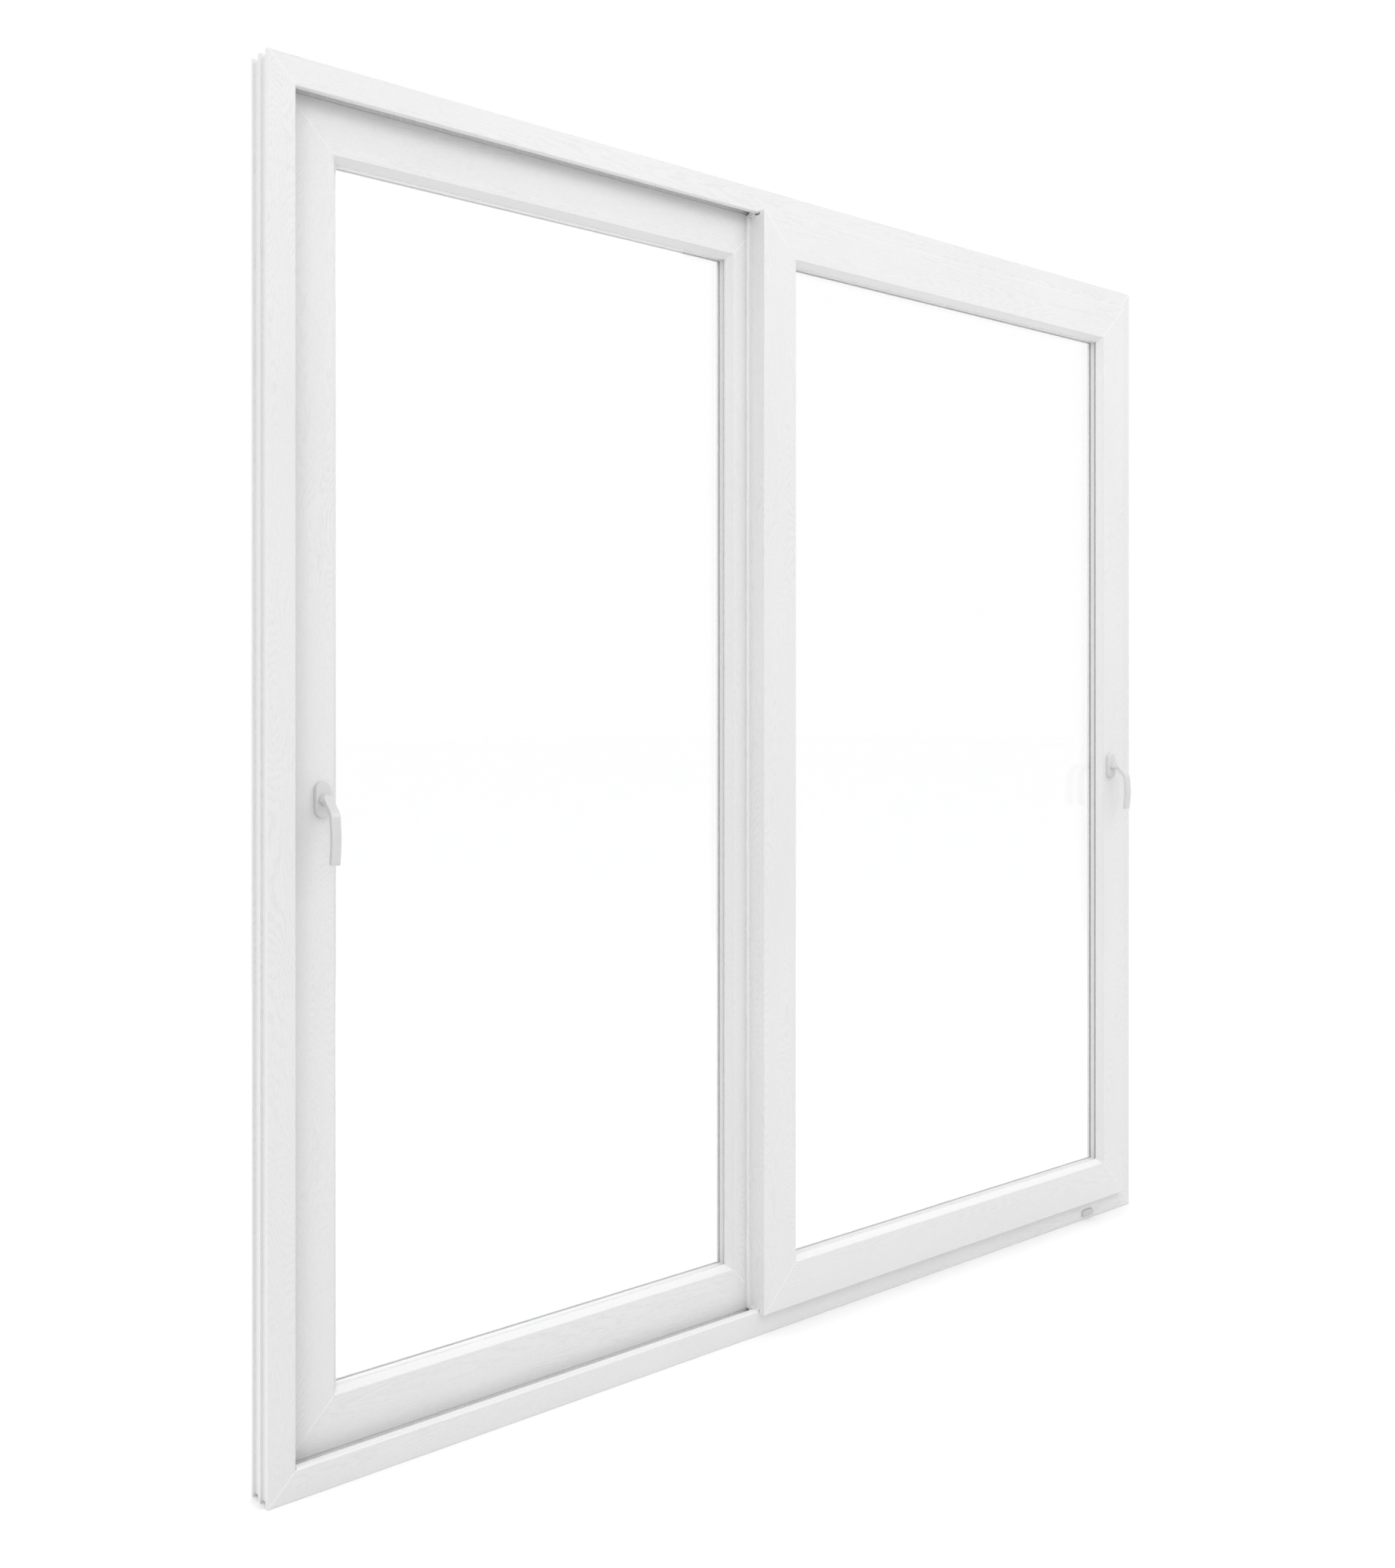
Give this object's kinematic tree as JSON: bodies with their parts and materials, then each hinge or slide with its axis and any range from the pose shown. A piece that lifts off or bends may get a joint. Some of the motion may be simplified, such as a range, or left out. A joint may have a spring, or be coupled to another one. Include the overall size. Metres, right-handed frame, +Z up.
{
  "type": "double glazed sliding window",
  "caption": "Full-height white two-track sliding window: mitred frame with sill rails, two double glazed sashes that meet at an interlock, and a turning lever handle on each outer stile.",
  "frame": {"origin": "middle of the sill's underside, on the centre land that stands on the wall opening", "axes": "+X along the window to the right seen from the room, +Y outdoors through the glass, +Z up"},
  "size_m": [2.4, 0.1582, 2.4],
  "materials": {
    "frame": "embossed oak-grain foil, satin",
    "sash": "embossed oak-grain foil, satin",
    "trim": "moulded, satin",
    "rail": "white lacquer",
    "handle": "satin powder coat",
    "glass": "clear float",
    "spacer": "matt",
    "gasket": "matt grey"
  },
  "bodies": {
    "window": {"sill": "frame", "head": "frame", "left_jamb": "frame", "right_jamb": "frame", "front_track_rail": "rail", "rear_track_rail": "rail", "drain_cover": "trim", "left_interlock": "rail", "right_interlock": "rail", "left_sash_bottom_rail": "sash", "left_sash_bottom_bead": "sash", "left_sash_top_rail": "sash", "left_sash_top_bead": "sash", "left_sash_outer_stile": "sash", "left_sash_outer_bead": "sash", "left_sash_meeting_stile": "sash", "left_sash_meeting_bead": "sash", "left_sash_inner_pane": "glass", "left_sash_outer_pane": "glass", "left_sash_spacer": "spacer", "left_sash_gaskets": "gasket", "right_sash_bottom_rail": "sash", "right_sash_bottom_bead": "sash", "right_sash_top_rail": "sash", "right_sash_top_bead": "sash", "right_sash_outer_stile": "sash", "right_sash_outer_bead": "sash", "right_sash_meeting_stile": "sash", "right_sash_meeting_bead": "sash", "right_sash_inner_pane": "glass", "right_sash_outer_pane": "glass", "right_sash_spacer": "spacer", "right_sash_gaskets": "gasket", "left_handle_plate": "handle", "right_handle_plate": "handle"},
    "left_handle": {"left_handle_lever": "handle"},
    "right_handle": {"right_handle_lever": "handle"}
  },
  "joints": [
    {"name": "left_handle_turn", "type": "hinge", "parent": "window", "child": "left_handle", "pos_m": [-1.088, -0.0075, 1.16], "axis": [0, -1, 0], "range_deg": [0, 90]},
    {"name": "right_handle_turn", "type": "hinge", "parent": "window", "child": "right_handle", "pos_m": [1.088, -0.0595, 1.16], "axis": [0, 1, 0], "range_deg": [0, 90]}
  ]
}
